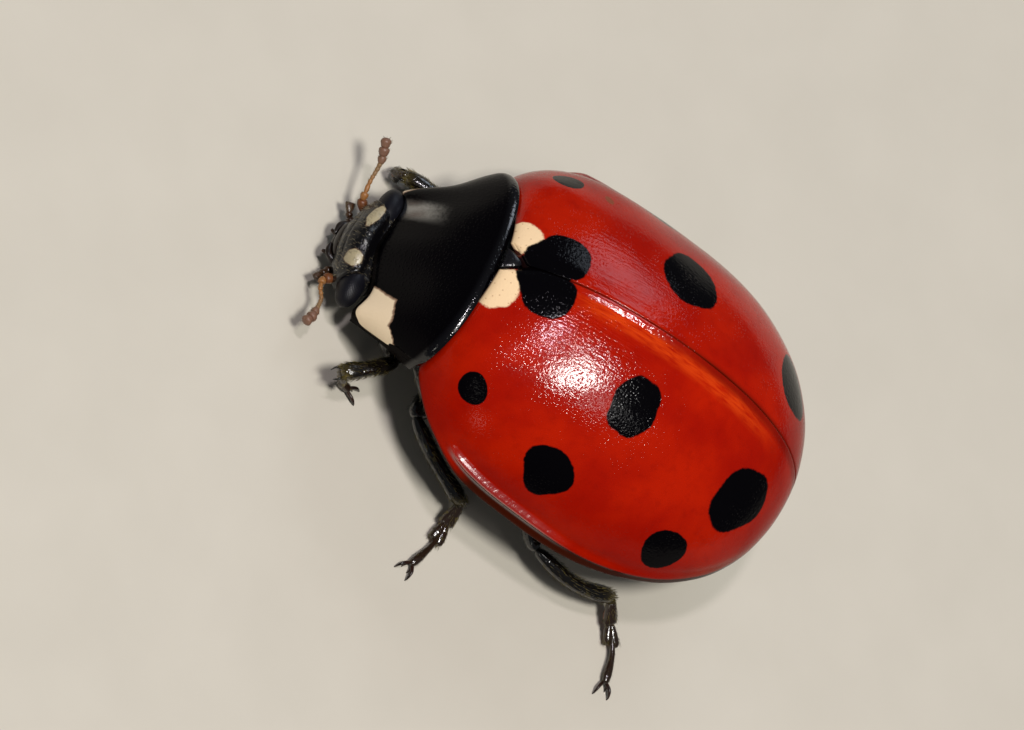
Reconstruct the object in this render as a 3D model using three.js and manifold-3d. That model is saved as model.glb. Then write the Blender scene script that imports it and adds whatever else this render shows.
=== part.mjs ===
// Eleven-spot ladybird (Coccinella undecimpunctata), life size, standing still on its six feet.
// Millimetres, +Z up. The head looks along -Y and the beetle's left side is +X.
import * as THREE from 'three';
import { mergeVertices } from 'three/addons/utils/BufferGeometryUtils.js';
import Module from 'manifold-3d';

const wasm = await Module();
wasm.setup();

// Driving dimensions. The wing cases are measured from their base to their tip, and levels from the floor.
const elytraLength = 4.0;
const elytraHalfWidth = 1.765;
const elytraHeight = 1.40;
const rimLevel = 0.88;
const shellThickness = 0.46;
const gap = 0.02;
const bellyDepth = 0.36;
const limbRadius = { coxa: 0.22, femur: 0.26, tibia: 0.23, tarsus: 0.215 };
const feelerRadius = 0.2;
const headSize = { centre: [0, -0.66, 0.44], radii: [0.5, 0.34, 0.3], lean: -0.35 };
const eyeSize = { centre: [0.46, -0.67, 0.49], radii: [0.15, 0.2, 0.19], lean: 0.2 };
const prothoraxSize = { centre: [0, -0.2, 0.62], radii: [0.92, 0.36, 0.36], lean: 0.5 };
const lipSize = { centre: [0, -0.95, 0.29], radii: [0.3, 0.12, 0.13], lean: -0.6 };
const palpPath = [[0.22, -0.84, 0.26], [0.32, -0.92, 0.2], [0.43, -0.98, 0.22]];
const palpRadius = 0.11;

const { smoothstep, lerp } = THREE.MathUtils;
const point = (x, y, z) => new THREE.Vector3(x, y, z);

// Formulas become closed meshes here

// The closed solid between two sheets of points, each a function of u and v from 0 to 1
function slab(across, along, top, bottom) {
  const positions = [];
  const index = [];
  for (const sheet of [top, bottom]) {
    for (let j = 0; j <= along; j++) {
      for (let i = 0; i <= across; i++) positions.push(...sheet(i / across, j / along).toArray());
    }
  }
  const at = (layer, i, j) => (layer * (along + 1) + j) * (across + 1) + i;
  const quad = (a, b, c, d) => index.push(a, b, c, a, c, d);
  for (let j = 0; j < along; j++) {
    for (let i = 0; i < across; i++) {
      quad(at(0, i, j), at(0, i + 1, j), at(0, i + 1, j + 1), at(0, i, j + 1));
      quad(at(1, i, j + 1), at(1, i + 1, j + 1), at(1, i + 1, j), at(1, i, j));
    }
    quad(at(0, 0, j), at(0, 0, j + 1), at(1, 0, j + 1), at(1, 0, j));
    quad(at(0, across, j + 1), at(0, across, j), at(1, across, j), at(1, across, j + 1));
  }
  for (let i = 0; i < across; i++) {
    quad(at(0, i + 1, 0), at(0, i, 0), at(1, i, 0), at(1, i + 1, 0));
    quad(at(0, i, along), at(0, i + 1, along), at(1, i + 1, along), at(1, i, along));
  }
  const geometry = new THREE.BufferGeometry();
  geometry.setAttribute('position', new THREE.Float32BufferAttribute(positions, 3));
  geometry.setIndex(index);
  return geometry;
}

// A ball pulled out to three radii, leaned forward about X and set at its centre
function ball({ centre, radii, lean }, around, along, grow = 0) {
  const geometry = new THREE.SphereGeometry(1, around, along);
  geometry.scale(...radii.map((radius) => radius + grow));
  geometry.rotateX(lean);
  geometry.translate(...centre);
  return geometry;
}

// A round limb along a smooth path, domed at both ends, its sole pressed flat on the floor
function limb(path, radius, taper = 1) {
  const sides = 8, steps = 10;
  const curve = new THREE.CatmullRomCurve3(path.map((place) => point(...place)));
  const frames = curve.computeFrenetFrames(steps);
  const shares = [0, 0.04, 0.18, 0.4, 0.6, 0.82, 0.96, 1];
  const last = shares.length - 1;
  const geometry = new THREE.SphereGeometry(1, sides, last);
  const position = geometry.attributes.position;
  for (let n = 0; n < position.count; n++) {
    const ring = Math.floor(n / (sides + 1));
    const angle = (n % (sides + 1)) / sides * -2 * Math.PI;
    const share = shares[ring];
    const frame = Math.round(share * steps);
    const dome = Math.sqrt(Math.max(0, 1 - Math.abs(2 * share - 1) ** 5));
    const reach = radius * dome * lerp(1, taper, share);
    const at = curve.getPointAt(share)
      .addScaledVector(frames.normals[frame], reach * Math.cos(angle))
      .addScaledVector(frames.binormals[frame], reach * Math.sin(angle));
    position.setXYZ(n, at.x, at.y, Math.max(0, at.z));
  }
  return geometry;
}

function mirrored(geometry) {
  const copy = geometry.clone().scale(-1, 1, 1);
  const index = copy.index.array;
  for (let n = 0; n < index.length; n += 3) [index[n], index[n + 1]] = [index[n + 1], index[n]];
  return copy;
}

function solidOf(geometry) {
  const bare = geometry.clone();
  bare.deleteAttribute('normal');
  bare.deleteAttribute('uv');
  const merged = mergeVertices(bare, 1e-5);
  const mesh = new wasm.Mesh({
    numProp: 3,
    vertProperties: new Float32Array(merged.attributes.position.array),
    triVerts: new Uint32Array(merged.index.array),
  });
  return new wasm.Manifold(mesh);
}

function geometryOf(solid) {
  const mesh = solid.getMesh();
  const geometry = new THREE.BufferGeometry();
  geometry.setAttribute('position', new THREE.BufferAttribute(mesh.vertProperties, 3));
  geometry.setIndex(new THREE.BufferAttribute(mesh.triVerts, 1));
  return geometry;
}

const joined = (shapes) => geometryOf(shapes.map(solidOf).reduce((whole, shape) => whole.add(shape)));

// The largest piece of a shape once its neighbours are cut away
function carve(geometry, neighbours) {
  let solid = solidOf(geometry);
  for (const neighbour of neighbours) solid = solid.subtract(solidOf(neighbour));
  const pieces = solid.decompose().sort((a, b) => b.volume() - a.volume());
  return geometryOf(pieces[0]);
}

// Half width of the dome at t, 0 at its base and 1 at its tip
function halfWidthAt(t) {
  const shoulder = 0.61, widest = 0.51, frontPower = 4.2, rearPower = 2.12;
  if (t < widest) return elytraHalfWidth * (1 - (1 - shoulder) * ((widest - t) / widest) ** frontPower);
  return elytraHalfWidth * (1 - ((t - widest) / (1 - widest)) ** rearPower) ** (1 / rearPower);
}

// Height of the suture above the rim at t
function crestAt(t) {
  const baseShare = 0.64, highest = 0.49, frontPower = 2.2, rearPower = 2.16;
  if (t < highest) return elytraHeight * (1 - (1 - baseShare) * ((highest - t) / highest) ** frontPower);
  return elytraHeight * (1 - ((t - highest) / (1 - highest)) ** rearPower) ** (1 / rearPower);
}

// How far the base of the wing cases lies behind y = 0, with a notch for the scutellum
const frontEdgeAt = (x) => 0.135 - 0.05 * (x / 0.9) ** 2 + 0.2 * Math.max(0, 1 - Math.abs(x) / 0.15);

// A point of the dome at t, depth inside it, with side from -1 on the right rim to 1 on the left
function domePoint(side, t, depth) {
  const roundness = 1.72, rimRise = 0.10, tip = 0.9985;
  const station = t * tip;
  const x = side * halfWidthAt(station) * (1 - depth / elytraHalfWidth);
  const crest = crestAt(station) * (1 - depth / elytraHeight);
  const arch = Math.max(0, 1 - Math.abs(side) ** roundness) ** (1 / roundness);
  const front = frontEdgeAt(x) * (1 - t);
  const y = front + t * elytraLength - depth * smoothstep(t, 0.4, 1);
  return point(x, y, rimLevel + rimRise * (1 - 2 * t) ** 2 * side ** 2 + crest * arch);
}

// Steps bunch up towards both ends of the dome and towards its rim
const alongDome = (v) => (1 - Math.cos(v * Math.PI)) / 2;
const acrossDome = (u) => Math.sin(u * Math.PI / 2);

function elytronLeft() {
  const sheet = (depth) => (u, v) => {
    const at = domePoint(acrossDome(u), alongDome(v), depth);
    return point(Math.max(at.x, gap / 2), at.y, at.z);
  };
  return slab(9, 14, sheet(0), sheet(shellThickness));
}

function scutellum() {
  const sheet = (drop) => (u, v) => {
    const z = rimLevel + crestAt(0) - 0.05 * (1 - v) ** 2 - drop;
    return point((2 * u - 1) * 0.11 * (1 - 0.85 * v), 0.145 + 0.16 * v, z);
  };
  return slab(4, 3, sheet(0), sheet(0.3));
}

// The body under the wing cases from one station to another, its belly rounded below the rim
function trunk(first, last, along) {
  const clear = shellThickness + gap;
  const station = (v) => lerp(first, last, v);
  const top = (u, v) => {
    const at = domePoint(acrossDome(2 * u - 1), station(v), clear);
    return point(at.x, at.y + gap * (1 - station(v)), at.z);
  };
  const bottom = (u, v) => {
    const at = top(u, v);
    const side = acrossDome(2 * u - 1);
    const belly = bellyDepth * (1 - 0.45 * smoothstep(station(v), 0.45, 1));
    return point(at.x, at.y, rimLevel - 0.06 - belly * Math.sqrt(1 - Math.abs(side) ** 2.4));
  };
  return slab(10, along, top, bottom);
}

// The shield slopes down and narrows from its rear edge, v = 0, to its front edge, v = 1
function pronotumSheet(inside, spread = 0) {
  return (u, v) => {
    const side = acrossDome(1 - 2 * u);
    const reach = Math.abs(side);
    const x = side * (lerp(1.21, 0.78, v) + 0.05 * Math.sin(v * Math.PI) + spread);
    const rear = 0.11 - 0.085 * reach ** 2;
    const front = -0.64 + 0.587 * reach ** 2 - 0.507 * reach ** 4;
    const crest = lerp(0.80, -0.21, v) + 0.15 * Math.sin(v * Math.PI);
    const margin = lerp(0.18, -0.39, v);
    const arch = (1 - reach ** 2.1) ** (1 / 1.7);
    const thickness = lerp(0.42, 0.3, v) * (1 - 0.72 * reach ** 2);
    const z = rimLevel + lerp(margin, crest, arch) - inside * thickness - (2 * inside - 1) * spread;
    return point(x, lerp(rear, front, v) + (1 - 2 * v) * spread, z);
  };
}
const pronotumShield = (spread) => slab(14, 6, pronotumSheet(0, spread), pronotumSheet(1, spread));

const prothoraxBall = () => ball(prothoraxSize, 14, 8);

// The head hangs down in front of the shield, wider at the eyes than at the mouth
function headBall(grow = 0) {
  const geometry = ball(headSize, 18, 10, grow);
  const position = geometry.attributes.position;
  for (let n = 0; n < position.count; n++) {
    const narrowing = 1 - 0.3 * smoothstep(-position.getY(n), 0.75, 1.0);
    position.setX(n, position.getX(n) * narrowing);
  }
  return geometry;
}

const eyeBall = (grow = 0) => ball(eyeSize, 12, 8, grow);

// Upper lip between the feelers, with the two stout palps that grow below it
const upperLip = () => ball(lipSize, 12, 6);
const palp = () => limb(palpPath, palpRadius, 1.25);

// The feelers bend at two places, and their last stretch lies in the room of the club
const feelerPaths = {
  left: [[0.48, -0.86, 0.3], [0.66, -0.86, 0.29], [0.9, -0.87, 0.29], [1.04, -0.92, 0.31]],
  right: [[-0.48, -0.87, 0.33], [-0.56, -0.89, 0.38], [-0.8, -0.91, 0.5], [-1.0, -1.0, 0.63]],
};

// Where each leg's joints lie: hip, knee, bow of the shin, ankle, ball of the foot and toe
const stances = {
  front_left: [[0.27, -0.24, 0.38], [0.84, 0.12, 0.5], [1.1, -0.13, 0.52], [1.31, -0.42, 0.48],
    [1.22, -0.22, 0.27], [1.14, -0.02, 0.2]],
  front_right: [[-0.27, -0.24, 0.36], [-0.86, 0.14, 0.42], [-0.93, -0.24, 0.46], [-0.97, -0.6, 0.38],
    [-1.08, -0.5, 0.25], [-1.13, -0.22, 0.2]],
  middle_left: [[0.42, 0.92, 0.38], [1.24, 0.42, 0.54], [1.5, 0.84, 0.46], [1.57, 1.32, 0.32],
    [1.95, 1.24, 0.22], [2.42, 1.16, 0.2]],
  middle_right: [[-0.42, 0.92, 0.38], [-1.28, 0.6, 0.54], [-1.55, 1.03, 0.46], [-1.62, 1.5, 0.32],
    [-1.94, 1.62, 0.22], [-2.28, 1.74, 0.2]],
  hind_left: [[0.6, 1.72, 0.4], [1.64, 2.1, 0.46], [1.69, 2.64, 0.4], [1.47, 3.14, 0.32],
    [1.8, 3.36, 0.22], [2.22, 3.53, 0.2]],
  hind_right: [[-0.6, 1.72, 0.4], [-1.58, 2.22, 0.48], [-1.6, 2.74, 0.4], [-1.42, 3.2, 0.32],
    [-1.66, 3.46, 0.22], [-1.9, 3.74, 0.2]],
};

function legSegments(stance, grow = 0) {
  const [hip, knee, shin, ankle, ballOfFoot, toe] = stance;
  const coxa = limbRadius.coxa + grow;
  const socket = [hip[0] * 0.86, hip[1], hip[2] + 0.03];
  const thigh = hip.map((value, axis) => lerp(value, knee[axis], 0.5));
  return {
    coxa: ball({ centre: socket, radii: [coxa * 1.15, coxa, coxa], lean: 0 }, 10, 6),
    femur: limb([hip, thigh, knee], limbRadius.femur + grow, 0.85),
    tibia: limb([knee, shin, ankle], limbRadius.tibia + grow),
    tarsus: limb([ankle, ballOfFoot, toe], limbRadius.tarsus + grow),
  };
}

const finish = (color, roughness) => new THREE.MeshStandardMaterial({ color, roughness, metalness: 0 });
const finishes = {
  redShell: finish(0xa32008, 0.25),
  blackShell: finish(0x0a090c, 0.25),
  body: finish(0x141012, 0.5),
  eye: finish(0x1d1b1f, 0.4),
  feeler: finish(0x7a4a26, 0.5),
  leg: finish(0x12100d, 0.4),
};

const beetle = new THREE.Group();
function place(name, geometry, material) {
  const mesh = new THREE.Mesh(geometry, material);
  mesh.name = name;
  mesh.geometry.computeVertexNormals();
  beetle.add(mesh);
}

place('elytron_left', elytronLeft(), finishes.redShell);
place('elytron_right', mirrored(elytronLeft()), finishes.redShell);
place('scutellum', scutellum(), finishes.blackShell);
place('pronotum', pronotumShield(0), finishes.blackShell);

const shieldRoom = pronotumShield(gap);
const eyeRoom = [eyeBall(gap), mirrored(eyeBall(gap))];
const eyeLeft = carve(eyeBall(), [shieldRoom]);
place('eye_left', eyeLeft, finishes.eye);
place('eye_right', mirrored(eyeLeft), finishes.eye);
place('head', carve(headBall(), [shieldRoom, ...eyeRoom]), finishes.blackShell);

for (const side of ['left', 'right']) {
  const feeler = limb(feelerPaths[side], feelerRadius);
  place(`antenna_${side}`, carve(feeler, [headBall(gap), ...eyeRoom]), finishes.feeler);
}
const feelerRoom = ['left', 'right'].map((side) => limb(feelerPaths[side], feelerRadius + gap));
const mouth = joined([upperLip(), palp(), mirrored(palp())]);
place('mouthparts', carve(mouth, [headBall(gap), ...feelerRoom]), finishes.body);

const frontRoom = [];
const bellyRoom = [];
for (const [name, stance] of Object.entries(stances)) {
  const segments = legSegments(stance);
  const room = legSegments(stance, gap);
  const [pair, side] = name.split('_');
  const inner = { coxa: [], femur: ['coxa'], tibia: ['femur'], tarsus: ['femur', 'tibia'] };
  for (const [segment, geometry] of Object.entries(segments)) {
    const cuts = inner[segment].map((other) => room[other]);
    place(`${pair}_${segment}_${side}`, carve(geometry, cuts), finishes.leg);
  }
  (pair === 'front' ? frontRoom : bellyRoom).push(room.coxa, room.femur, room.tibia);
}
const prothoraxCuts = [shieldRoom, headBall(gap), ...eyeRoom, ...frontRoom];
place('prothorax', carve(prothoraxBall(), prothoraxCuts), finishes.body);
place('thorax', carve(trunk(0, 0.36, 5), [...frontRoom, ...bellyRoom]), finishes.body);
place('abdomen', carve(trunk(0.366, 0.97, 8), bellyRoom), finishes.body);

// The origin is on the floor, under the middle of the whole insect
const extent = new THREE.Box3().setFromObject(beetle);
const middle = extent.getCenter(point(0, 0, 0));
beetle.position.set(-middle.x, -middle.y, -extent.min.z);

export default beetle;
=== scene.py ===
# Eleven-spot ladybird, life size, standing still. Metres, +Z up, head towards -Y, its left side +X.
import math
import bmesh
import bpy
import numpy as np
from mathutils import Matrix, Vector


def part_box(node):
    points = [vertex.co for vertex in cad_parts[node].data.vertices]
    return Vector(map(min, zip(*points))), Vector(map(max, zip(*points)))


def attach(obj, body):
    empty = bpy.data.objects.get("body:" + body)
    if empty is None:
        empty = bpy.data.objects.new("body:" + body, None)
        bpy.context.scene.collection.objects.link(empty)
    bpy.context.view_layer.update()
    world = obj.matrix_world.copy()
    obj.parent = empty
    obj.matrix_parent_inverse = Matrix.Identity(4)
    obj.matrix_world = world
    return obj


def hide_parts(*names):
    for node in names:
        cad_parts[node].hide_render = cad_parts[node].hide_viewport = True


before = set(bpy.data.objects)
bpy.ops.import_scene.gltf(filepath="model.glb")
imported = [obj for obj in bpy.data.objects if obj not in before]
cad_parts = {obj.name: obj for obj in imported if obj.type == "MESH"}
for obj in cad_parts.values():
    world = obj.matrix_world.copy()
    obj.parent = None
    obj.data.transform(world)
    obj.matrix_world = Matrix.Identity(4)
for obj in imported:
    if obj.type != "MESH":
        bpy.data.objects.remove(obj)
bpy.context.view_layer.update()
print("frame loaded:", len(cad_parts), "solids")

# Where the beetle's own millimetres lie in the frame
millimetre = 0.001
shell = {
    "length": 4.0, "halfWidth": 1.765, "height": 1.40, "rimLevel": 0.88,
    "shoulder": 0.61, "widest": 0.51, "frontPower": 4.2, "rearPower": 2.12,
    "baseShare": 0.64, "highest": 0.49, "crestFrontPower": 2.2, "crestRearPower": 2.16,
    "roundness": 1.72, "rimRise": 0.10, "seamHalfGap": 0.003, "tip": 0.9995,
    "skinThickness": 0.07, "edgeThickness": 0.20, "rows": 190, "columns": 110,
}
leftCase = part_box("elytron_left")
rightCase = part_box("elytron_right")
origin = np.array([(rightCase[0].x + leftCase[1].x) / 2,
                   leftCase[1].y - shell["length"] * millimetre, 0.0])


def inFrame(points):
    # a place in the beetle's millimetres becomes a place in the frame's metres
    return np.asarray(points, float) * millimetre + origin


# Camera, floor and light
view = {
    "right": (-0.34799, 0.76980, 0.53509), "up": (-0.78684, -0.55013, 0.27972),
    "aim": (0.0, 2.0, 1.28), "aimPixel": (633.18, 379.71), "pixelsPerMm": 106.57,
    "distance": 96.6, "imageSize": (1024, 730), "sensor": 36.0,
}


def addCamera():
    right = np.array(view["right"])
    up = np.array(view["up"])
    back = np.cross(right, up)
    width, height = view["imageSize"]
    across = (view["aimPixel"][0] - width / 2) / view["pixelsPerMm"]
    above = (height / 2 - view["aimPixel"][1]) / view["pixelsPerMm"]
    place = inFrame(np.array(view["aim"]) + view["distance"] * back - across * right - above * up)
    data = bpy.data.cameras.new("camera")
    data.sensor_width = view["sensor"]
    data.lens = view["sensor"] * view["pixelsPerMm"] * view["distance"] / width
    data.clip_start, data.clip_end = 0.005, 10
    camera = bpy.data.objects.new("camera", data)
    turn = Matrix([list(row) for row in np.stack([right, up, back], -1)])
    camera.matrix_world = Matrix.Translation(Vector(place)) @ turn.to_4x4()
    bpy.context.scene.collection.objects.link(camera)
    bpy.context.scene.camera = camera


lamps = {
    "key": {"azimuth": 84, "height": 72.8, "distance": 0.12, "radius": 0.0115, "power": 0.104,
            "colour": (1.0, 0.975, 0.94)},
    "window": {"azimuth": 13, "height": 72, "distance": 0.12, "radius": 0.0055, "power": 0.030,
               "colour": (1.0, 0.93, 1.0)},
    "low": {"azimuth": 72, "height": 22, "distance": 0.10, "radius": 0.007, "power": 0.0025,
            "colour": (1.0, 0.96, 0.86)},
    "side": {"azimuth": 112, "height": 62, "distance": 0.12, "radius": 0.006, "power": 0.0038,
             "colour": (1.0, 0.97, 0.95)},
    "sky": {"azimuth": -90, "height": 37, "distance": 0.10, "radius": 0.022, "power": 0.015,
            "colour": (0.80, 0.88, 1.0)},
}


def addLamp(name, azimuth, height, distance, radius, power, colour):
    # a round soft light that shines on the middle of the shell; azimuth 0 is in front of the head
    turn, lift = math.radians(azimuth), math.radians(height)
    towards = Vector((math.cos(lift) * math.sin(turn), -math.cos(lift) * math.cos(turn), math.sin(lift)))
    data = bpy.data.lights.new(name, "AREA")
    data.shape = "DISK"
    data.size = 2 * radius
    data.energy = power
    data.color = colour
    lamp = bpy.data.objects.new(name, data)
    lamp.location = Vector(inFrame((0, 1.6, 0.9))) + towards * distance
    lamp.rotation_euler = towards.to_track_quat("Z", "Y").to_euler()
    bpy.context.scene.collection.objects.link(lamp)


# Shader maths
class Wire:
    # one socket of a finish; arithmetic on it adds Math nodes
    def __init__(self, finish, socket):
        self.finish = finish
        self.socket = socket

    def maths(self, operation, *values):
        return self.finish.add("ShaderNodeMath", {"operation": operation}, dict(enumerate(values)))

    def __add__(self, other):
        return self.maths("ADD", self, other)

    def __radd__(self, other):
        return self.maths("ADD", other, self)

    def __sub__(self, other):
        return self.maths("SUBTRACT", self, other)

    def __rsub__(self, other):
        return self.maths("SUBTRACT", other, self)

    def __mul__(self, other):
        return self.maths("MULTIPLY", self, other)

    def __rmul__(self, other):
        return self.maths("MULTIPLY", other, self)

    def __truediv__(self, other):
        return self.maths("DIVIDE", self, other)

    def __rtruediv__(self, other):
        return self.maths("DIVIDE", other, self)

    def __pow__(self, other):
        return self.maths("POWER", self, other)

    def least(self, other):
        return self.maths("MINIMUM", self, other)

    def most(self, other):
        return self.maths("MAXIMUM", self, other)

    def size(self):
        return self.maths("ABSOLUTE", self)

    def root(self):
        return self.maths("SQRT", self)

    def cosine(self):
        return self.maths("COSINE", self)

    def fade(self, low, high):
        # 0 below low and 1 above high with a soft step between; the other way round if low is higher
        return self.finish.add("ShaderNodeMapRange", {"interpolation_type": "SMOOTHSTEP"},
                               {"Value": self, "From Min": low, "From Max": high})


class Finish:
    # a material whose last node is one Principled shader, or a mix of two that differ in their shine
    def __init__(self, name, **constants):
        self.material = bpy.data.materials.new(name)
        self.material.use_nodes = True
        self.tree = self.material.node_tree
        self.tree.nodes.clear()
        self.shader = self.tree.nodes.new("ShaderNodeBsdfPrincipled")
        self.output = self.tree.nodes.new("ShaderNodeOutputMaterial")
        self.tree.links.new(self.shader.outputs[0], self.output.inputs[0])
        self.drive(**constants)

    def drive(self, **sockets):
        # sets or links the shader's own sockets
        names = {"colour": "Base Color", "rough": "Roughness", "shine": "Specular IOR Level",
                 "normal": "Normal", "coat": "Coat Weight", "coatRough": "Coat Roughness",
                 "coatIor": "Coat IOR", "coatTint": "Coat Tint", "glow": "Emission Color"}
        for key, value in sockets.items():
            self.connect(self.shader.inputs[names[key]], value)

    def mixShine(self, share, dull, bright):
        # the finished shader and its copy, mixed: share 0 has the dull shine and 1 the bright one
        copy = self.tree.nodes.new("ShaderNodeBsdfPrincipled")
        for mine, its in zip(self.shader.inputs, copy.inputs):
            if mine.is_linked:
                self.tree.links.new(mine.links[0].from_socket, its)
            elif hasattr(mine, "default_value"):
                its.default_value = mine.default_value
        self.shader.inputs["Specular IOR Level"].default_value = dull
        copy.inputs["Specular IOR Level"].default_value = bright
        first, second = Wire(self, self.shader.outputs[0]), Wire(self, copy.outputs[0])
        mixed = self.add("ShaderNodeMixShader", None, {0: share, 1: first, 2: second})
        self.tree.links.new(mixed.socket, self.output.inputs[0])

    def connect(self, socket, value):
        if isinstance(value, Wire):
            self.tree.links.new(value.socket, socket)
        elif socket.type == "RGBA" and len(value) == 3:
            socket.default_value = (*value, 1.0)
        else:
            socket.default_value = value

    def add(self, kind, settings=None, inputs=None, output=0):
        # any node: its settings first, then the values or links of its sockets
        node = self.tree.nodes.new(kind)
        for key, value in (settings or {}).items():
            setattr(node, key, value)
        for key, value in (inputs or {}).items():
            found = [socket for place, socket in enumerate(node.inputs)
                     if key in (place, socket.identifier, socket.name)]
            self.connect(found[0], value)
        outlets = [socket for place, socket in enumerate(node.outputs)
                   if output in (place, socket.identifier, socket.name)]
        return Wire(self, outlets[0])

    def attribute(self, name):
        return self.add("ShaderNodeAttribute", {"attribute_name": name}, output="Vector")

    def place(self):
        return self.add("ShaderNodeTexCoord", output="Object")

    def split(self, vector):
        node = self.add("ShaderNodeSeparateXYZ", inputs={"Vector": vector}).socket.node
        return [Wire(self, socket) for socket in node.outputs]

    def join(self, x, y, z=0.0):
        return self.add("ShaderNodeCombineXYZ", inputs={"X": x, "Y": y, "Z": z})

    def mix(self, share, first, second):
        return self.add("ShaderNodeMix", {"data_type": "RGBA"},
                        {"Factor_Float": share, "A_Color": first, "B_Color": second}, "Result_Color")

    def noise(self, vector, scale, detail=2.0, roughness=0.5):
        return self.add("ShaderNodeTexNoise", None,
                        {"Vector": vector, "Scale": scale, "Detail": detail, "Roughness": roughness}, "Fac")

    def pits(self, vector, scale, wide, flat=True):
        # 1 at the middle of each scattered pit, 0 between the pits
        nearest = self.add("ShaderNodeTexVoronoi", {"voronoi_dimensions": "2D" if flat else "3D"},
                           {"Vector": vector, "Scale": scale, "Randomness": 0.85}, "Distance")
        return nearest.fade(wide, 0.0)

    def bump(self, height, depth, strength=1.0):
        # depth in millimetres
        return self.add("ShaderNodeBump", None,
                        {"Height": height, "Distance": depth * millimetre, "Strength": strength}, "Normal")


def srgb(red, green, blue):
    # screen colours 0 to 255 become linear light
    return tuple((v / 255 / 12.92) if v <= 10 else ((v / 255 + 0.055) / 1.055) ** 2.4
                 for v in (red, green, blue))


# Turning formulas into meshes
def gridFaces(rows, columns, start=0, closed=False):
    # four-sided faces of a grid of points held row by row; a closed grid joins its last column to its first
    across = columns if closed else columns - 1
    row, column = np.meshgrid(np.arange(rows - 1), np.arange(across), indexing="ij")
    beside = (column + 1) % columns
    corners = [row * columns + column, row * columns + beside,
               (row + 1) * columns + beside, (row + 1) * columns + column]
    return np.stack(corners, -1).reshape(-1, 4) + start


class Shape:
    # the points, faces and per-point values of one piece, gathered part by part
    def __init__(self):
        self.points = []
        self.faces = []
        self.finish = []
        self.values = {}
        self.count = 0

    def add(self, points, faces, finish=0, **values):
        points = np.asarray(points, float).reshape(-1, 3)
        self.points.append(points)
        for group in faces:
            self.faces.extend((np.asarray(group) + self.count).tolist())
            self.finish.extend([finish] * len(group))
        for key, value in values.items():
            self.values.setdefault(key, []).append(np.asarray(value, float).reshape(len(points), 3))
        self.count += len(points)
        return self


def build(name, shape, finishes, nodes=(), sharp=50, tufts=None):
    mesh = bpy.data.meshes.new(name)
    points = np.concatenate(shape.points)
    # nothing reaches below the floor
    points[:, 2] = np.maximum(points[:, 2], 0.002)
    mesh.from_pydata(inFrame(points).tolist(), [], shape.faces)
    mesh.polygons.foreach_set("material_index", shape.finish)
    for key, value in shape.values.items():
        layer = mesh.attributes.new(key, "FLOAT_VECTOR", "POINT")
        layer.data.foreach_set("vector", np.concatenate(value).astype(np.float32).ravel())
    for finish in finishes:
        mesh.materials.append(finish.material)
    solid = bmesh.new()
    solid.from_mesh(mesh)
    bmesh.ops.recalc_face_normals(solid, faces=solid.faces)
    solid.to_mesh(mesh)
    solid.free()
    mesh.shade_smooth()
    if sharp:
        mesh.set_sharp_from_angle(angle=math.radians(sharp))
    if tufts is not None:
        corners = np.empty(len(mesh.loops), np.int32)
        mesh.loops.foreach_get("vertex_index", corners)
        layer = mesh.uv_layers.new(name="OFBake")
        layer.uv.foreach_set("vector", tufts[corners].astype(np.float32).ravel())
    mesh.update()
    piece = bpy.data.objects.new(name, mesh)
    bpy.context.scene.collection.objects.link(piece)
    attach(piece, "root")
    if nodes:
        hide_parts(*nodes)
    print(f"{name}: {sum(len(face) - 2 for face in shape.faces)} triangles")
    return piece


def slab(outer, inner):
    # the closed body between two sheets of points of one grid size: both sheets and the four walls
    rows, columns = outer.shape[:2]
    layer = rows * columns
    first, last = np.arange(columns), np.arange(columns) + (rows - 1) * columns
    low, high = np.arange(rows) * columns, np.arange(rows) * columns + columns - 1
    walls = [np.stack([edge[:-1], edge[1:], edge[1:] + layer, edge[:-1] + layer], -1)
             for edge in (first, last[::-1], low[::-1], high)]
    points = np.concatenate([outer.reshape(-1, 3), inner.reshape(-1, 3)])
    return points, [gridFaces(rows, columns), gridFaces(rows, columns, layer)[:, ::-1], *walls]


def surfaceNormals(points):
    # the direction square to a grid of points, turned to face up where the grid allows it
    normal = np.cross(np.gradient(points, axis=1), np.gradient(points, axis=0))
    normal /= np.linalg.norm(normal, axis=-1, keepdims=True) + 1e-12
    return normal * np.sign(normal[..., 2].sum())


def lengthAlong(points, axis):
    # distance walked over a grid of points from its first row or column
    steps = np.linalg.norm(np.diff(points, axis=axis), axis=-1)
    start = np.zeros_like(np.take(points[..., 0], [0], axis=axis))
    return np.concatenate([start, np.cumsum(steps, axis=axis)], axis=axis)


def bellCurve(distance, width):
    return np.exp(-(distance / width) ** 2)


def smooth(value, low, high):
    share = np.clip((value - low) / (high - low), 0, 1)
    return share * share * (3 - 2 * share)


# Wing cases
def halfWidthAt(t):
    ahead = np.clip((shell["widest"] - t) / shell["widest"], 0, 1)
    front = 1 - (1 - shell["shoulder"]) * ahead ** shell["frontPower"]
    rear = np.clip((t - shell["widest"]) / (1 - shell["widest"]), 0, 1) ** shell["rearPower"]
    return shell["halfWidth"] * np.where(t < shell["widest"], front, (1 - rear) ** (1 / shell["rearPower"]))


def crestAt(t):
    lift = np.clip((shell["highest"] - t) / shell["highest"], 0, 1) ** shell["crestFrontPower"]
    rear = np.clip((t - shell["highest"]) / (1 - shell["highest"]), 0, 1) ** shell["crestRearPower"]
    return shell["height"] * np.where(t < shell["highest"], 1 - (1 - shell["baseShare"]) * lift,
                                      (1 - rear) ** (1 / shell["crestRearPower"]))


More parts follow.
